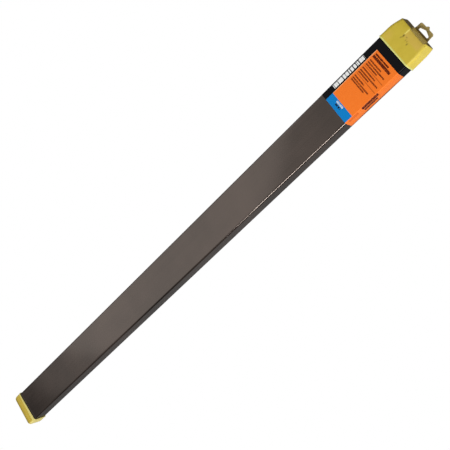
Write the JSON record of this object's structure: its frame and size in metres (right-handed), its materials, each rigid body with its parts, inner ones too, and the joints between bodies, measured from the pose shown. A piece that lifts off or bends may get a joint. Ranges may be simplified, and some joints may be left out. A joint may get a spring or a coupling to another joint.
{
  "type": "spirit level storage case",
  "caption": "Long rectangular plastic storage case for a spirit level, with push-on yellow end caps, a hanging tab and a printed film label near the top.",
  "frame": {"origin": "centre of the case's length and width, on the plane of the caps' flat undersides, on which the case lies", "axes": "+X along the case towards the hanging tab, +Y across the wide face, +Z from the back face towards the labelled front"},
  "size_m": [1.2948, 0.0808, 0.0384],
  "materials": {
    "tube_plastic": "satin brownish grey extruded plastic",
    "top_cap_plastic": "satin yellow soft plastic",
    "tab_plastic": "satin olive amber plastic",
    "bottom_cap_plastic": "satin yellow soft plastic",
    "label_film": "printed film, semi-gloss"
  },
  "bodies": {
    "case": {"case_tube": "tube_plastic", "label": "label_film"},
    "top_closure": {"top_cap": "top_cap_plastic", "hang_tab": "tab_plastic"},
    "bottom_closure": {"bottom_cap": "bottom_cap_plastic"}
  },
  "joints": [
    {"name": "top_cap_pull", "type": "slide", "parent": "case", "child": "top_closure", "axis": [1, 0, 0], "range_m": [0, 0.08]},
    {"name": "bottom_cap_pull", "type": "slide", "parent": "case", "child": "bottom_closure", "axis": [-1, 0, 0], "range_m": [0, 0.05]}
  ]
}
